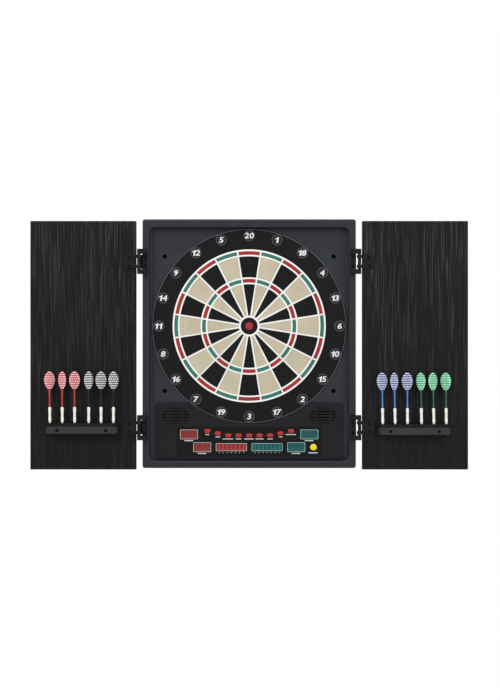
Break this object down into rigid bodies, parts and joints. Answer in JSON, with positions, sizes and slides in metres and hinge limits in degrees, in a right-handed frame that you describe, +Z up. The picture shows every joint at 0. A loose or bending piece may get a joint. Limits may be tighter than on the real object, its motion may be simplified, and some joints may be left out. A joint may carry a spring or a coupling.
{
  "type": "electronic dartboard",
  "caption": "Electronic soft-tip dartboard in a plastic housing with score displays and buttons, two hinged wooden doors with dart racks, and darts with checkered flights.",
  "frame": {"origin": "on the bullseye's axis, in the plane of the wall, which the rear cover's flat back touches", "axes": "+X to the right for the player, -Y towards the player, +Z up"},
  "size_m": [0.975, 0.0753, 0.5578],
  "materials": {
    "housing_plastic": "fine moulded grain",
    "cover_plastic": "fine moulded grain",
    "ring_plastic": "fine radial ribs",
    "spider_plastic": "smooth",
    "red_plastic": "moulded, with dart holes",
    "green_plastic": "moulded, with dart holes",
    "black_plastic": "moulded, with dart holes",
    "cream_plastic": "moulded, with dart holes",
    "mat_rubber": "plain",
    "membrane_film": "clear film with printed tracks",
    "fibre_board": "pressed fibre",
    "screw_steel": "zinc plated",
    "circuit_board": "solder mask",
    "red_window": "tinted filter",
    "green_window": "tinted filter",
    "panel_print": "printed film",
    "keypad_rubber": "silicone",
    "red_button": "smooth",
    "yellow_button": "smooth",
    "speaker_black": "paper cone and pressed frame",
    "jack_plastic": "moulded",
    "hinge_plastic": "moulded",
    "pin_steel": "black",
    "door_wood": "black embossed wood grain",
    "rack_plastic": "moulded",
    "door_screw_steel": "black zinc",
    "dart_red": "checkered flight, brass-coloured barrel",
    "dart_black": "checkered flight, brass-coloured barrel",
    "dart_blue": "checkered flight, brass-coloured barrel",
    "dart_green": "checkered flight, brass-coloured barrel"
  },
  "bodies": {
    "cabinet": {"front_housing": "housing_plastic", "wall_screw_tubes": "housing_plastic", "rear_cover": "cover_plastic", "housing_screws": "screw_steel", "catch_ring": "ring_plastic", "spider_web": "spider_plastic", "rubber_mat": "mat_rubber", "membrane_sheet": "membrane_film", "pressure_board": "fibre_board", "board_screws": "screw_steel", "ribbon_cable": "membrane_film", "control_board": "circuit_board", "red_displays": "red_window", "green_displays": "green_window", "panel_overlay": "panel_print", "keypad": "keypad_rubber", "speakers": "speaker_black", "dc_jack": "jack_plastic", "hinge_brackets": "hinge_plastic", "hinge_pins": "pin_steel"},
    "double_segments_red": {"double_segments_red": "red_plastic"},
    "double_segments_green": {"double_segments_green": "green_plastic"},
    "treble_segments_red": {"treble_segments_red": "red_plastic"},
    "treble_segments_green": {"treble_segments_green": "green_plastic"},
    "outer_single_segments_black": {"outer_single_segments_black": "black_plastic"},
    "outer_single_segments_cream": {"outer_single_segments_cream": "cream_plastic"},
    "inner_single_segments_black": {"inner_single_segments_black": "black_plastic"},
    "inner_single_segments_cream": {"inner_single_segments_cream": "cream_plastic"},
    "outer_bull": {"outer_bull": "black_plastic"},
    "bullseye": {"bullseye": "red_plastic"},
    "button_red_1": {"button_red_1": "red_button"},
    "button_red_2": {"button_red_2": "red_button"},
    "button_red_3": {"button_red_3": "red_button"},
    "button_red_4": {"button_red_4": "red_button"},
    "button_red_5": {"button_red_5": "red_button"},
    "button_red_6": {"button_red_6": "red_button"},
    "button_red_7": {"button_red_7": "red_button"},
    "button_red_8": {"button_red_8": "red_button"},
    "button_red_9": {"button_red_9": "red_button"},
    "button_yellow": {"button_yellow": "yellow_button"},
    "left_door": {"left_door_panel": "door_wood", "left_hinge_clips": "hinge_plastic", "left_dart_rack": "rack_plastic", "left_door_screws": "door_screw_steel"},
    "right_door": {"right_door_panel": "door_wood", "right_hinge_clips": "hinge_plastic", "right_dart_rack": "rack_plastic", "right_door_screws": "door_screw_steel"},
    "dart_red_1": {"dart_red_1": "dart_red"},
    "dart_red_2": {"dart_red_2": "dart_red"},
    "dart_red_3": {"dart_red_3": "dart_red"},
    "dart_black_1": {"dart_black_1": "dart_black"},
    "dart_black_2": {"dart_black_2": "dart_black"},
    "dart_black_3": {"dart_black_3": "dart_black"},
    "dart_blue_1": {"dart_blue_1": "dart_blue"},
    "dart_blue_2": {"dart_blue_2": "dart_blue"},
    "dart_blue_3": {"dart_blue_3": "dart_blue"},
    "dart_green_1": {"dart_green_1": "dart_green"},
    "dart_green_2": {"dart_green_2": "dart_green"},
    "dart_green_3": {"dart_green_3": "dart_green"}
  },
  "joints": [
    {"name": "press_double_segments_red", "type": "slide", "parent": "cabinet", "child": "double_segments_red", "axis": [0, 1, 0], "range_m": [0, 0.0015], "stiffness_N_per_m": 3000},
    {"name": "press_double_segments_green", "type": "slide", "parent": "cabinet", "child": "double_segments_green", "axis": [0, 1, 0], "range_m": [0, 0.0015], "stiffness_N_per_m": 3000},
    {"name": "press_treble_segments_red", "type": "slide", "parent": "cabinet", "child": "treble_segments_red", "axis": [0, 1, 0], "range_m": [0, 0.0015], "stiffness_N_per_m": 3000},
    {"name": "press_treble_segments_green", "type": "slide", "parent": "cabinet", "child": "treble_segments_green", "axis": [0, 1, 0], "range_m": [0, 0.0015], "stiffness_N_per_m": 3000},
    {"name": "press_outer_single_segments_black", "type": "slide", "parent": "cabinet", "child": "outer_single_segments_black", "axis": [0, 1, 0], "range_m": [0, 0.0015], "stiffness_N_per_m": 3000},
    {"name": "press_outer_single_segments_cream", "type": "slide", "parent": "cabinet", "child": "outer_single_segments_cream", "axis": [0, 1, 0], "range_m": [0, 0.0015], "stiffness_N_per_m": 3000},
    {"name": "press_inner_single_segments_black", "type": "slide", "parent": "cabinet", "child": "inner_single_segments_black", "axis": [0, 1, 0], "range_m": [0, 0.0015], "stiffness_N_per_m": 3000},
    {"name": "press_inner_single_segments_cream", "type": "slide", "parent": "cabinet", "child": "inner_single_segments_cream", "axis": [0, 1, 0], "range_m": [0, 0.0015], "stiffness_N_per_m": 3000},
    {"name": "press_outer_bull", "type": "slide", "parent": "cabinet", "child": "outer_bull", "axis": [0, 1, 0], "range_m": [0, 0.0015], "stiffness_N_per_m": 600},
    {"name": "press_bullseye", "type": "slide", "parent": "cabinet", "child": "bullseye", "axis": [0, 1, 0], "range_m": [0, 0.0015], "stiffness_N_per_m": 600},
    {"name": "press_button_red_1", "type": "slide", "parent": "cabinet", "child": "button_red_1", "axis": [0, 1, 0], "range_m": [0, 0.0012], "stiffness_N_per_m": 300},
    {"name": "press_button_red_2", "type": "slide", "parent": "cabinet", "child": "button_red_2", "axis": [0, 1, 0], "range_m": [0, 0.0012], "stiffness_N_per_m": 300},
    {"name": "press_button_red_3", "type": "slide", "parent": "cabinet", "child": "button_red_3", "axis": [0, 1, 0], "range_m": [0, 0.0012], "stiffness_N_per_m": 300},
    {"name": "press_button_red_4", "type": "slide", "parent": "cabinet", "child": "button_red_4", "axis": [0, 1, 0], "range_m": [0, 0.0012], "stiffness_N_per_m": 300},
    {"name": "press_button_red_5", "type": "slide", "parent": "cabinet", "child": "button_red_5", "axis": [0, 1, 0], "range_m": [0, 0.0012], "stiffness_N_per_m": 300},
    {"name": "press_button_red_6", "type": "slide", "parent": "cabinet", "child": "button_red_6", "axis": [0, 1, 0], "range_m": [0, 0.0012], "stiffness_N_per_m": 300},
    {"name": "press_button_red_7", "type": "slide", "parent": "cabinet", "child": "button_red_7", "axis": [0, 1, 0], "range_m": [0, 0.0012], "stiffness_N_per_m": 300},
    {"name": "press_button_red_8", "type": "slide", "parent": "cabinet", "child": "button_red_8", "axis": [0, 1, 0], "range_m": [0, 0.0012], "stiffness_N_per_m": 300},
    {"name": "press_button_red_9", "type": "slide", "parent": "cabinet", "child": "button_red_9", "axis": [0, 1, 0], "range_m": [0, 0.0012], "stiffness_N_per_m": 300},
    {"name": "press_button_yellow", "type": "slide", "parent": "cabinet", "child": "button_yellow", "axis": [0, 1, 0], "range_m": [0, 0.0012], "stiffness_N_per_m": 300},
    {"name": "left_door_hinge", "type": "hinge", "parent": "cabinet", "child": "left_door", "pos_m": [-0.2449, -0.0585, 0], "axis": [0, 0, 1], "range_deg": [0, 180]},
    {"name": "right_door_hinge", "type": "hinge", "parent": "cabinet", "child": "right_door", "pos_m": [0.2449, -0.0585, 0], "axis": [0, 0, -1], "range_deg": [0, 180]},
    {"name": "lift_dart_red_1", "type": "slide", "parent": "left_door", "child": "dart_red_1", "axis": [0, 0, 1], "range_m": [0, 0.05]},
    {"name": "lift_dart_red_2", "type": "slide", "parent": "left_door", "child": "dart_red_2", "axis": [0, 0, 1], "range_m": [0, 0.05]},
    {"name": "lift_dart_red_3", "type": "slide", "parent": "left_door", "child": "dart_red_3", "axis": [0, 0, 1], "range_m": [0, 0.05]},
    {"name": "lift_dart_black_1", "type": "slide", "parent": "left_door", "child": "dart_black_1", "axis": [0, 0, 1], "range_m": [0, 0.05]},
    {"name": "lift_dart_black_2", "type": "slide", "parent": "left_door", "child": "dart_black_2", "axis": [0, 0, 1], "range_m": [0, 0.05]},
    {"name": "lift_dart_black_3", "type": "slide", "parent": "left_door", "child": "dart_black_3", "axis": [0, 0, 1], "range_m": [0, 0.05]},
    {"name": "lift_dart_blue_1", "type": "slide", "parent": "right_door", "child": "dart_blue_1", "axis": [0, 0, 1], "range_m": [0, 0.05]},
    {"name": "lift_dart_blue_2", "type": "slide", "parent": "right_door", "child": "dart_blue_2", "axis": [0, 0, 1], "range_m": [0, 0.05]},
    {"name": "lift_dart_blue_3", "type": "slide", "parent": "right_door", "child": "dart_blue_3", "axis": [0, 0, 1], "range_m": [0, 0.05]},
    {"name": "lift_dart_green_1", "type": "slide", "parent": "right_door", "child": "dart_green_1", "axis": [0, 0, 1], "range_m": [0, 0.05]},
    {"name": "lift_dart_green_2", "type": "slide", "parent": "right_door", "child": "dart_green_2", "axis": [0, 0, 1], "range_m": [0, 0.05]},
    {"name": "lift_dart_green_3", "type": "slide", "parent": "right_door", "child": "dart_green_3", "axis": [0, 0, 1], "range_m": [0, 0.05]}
  ]
}
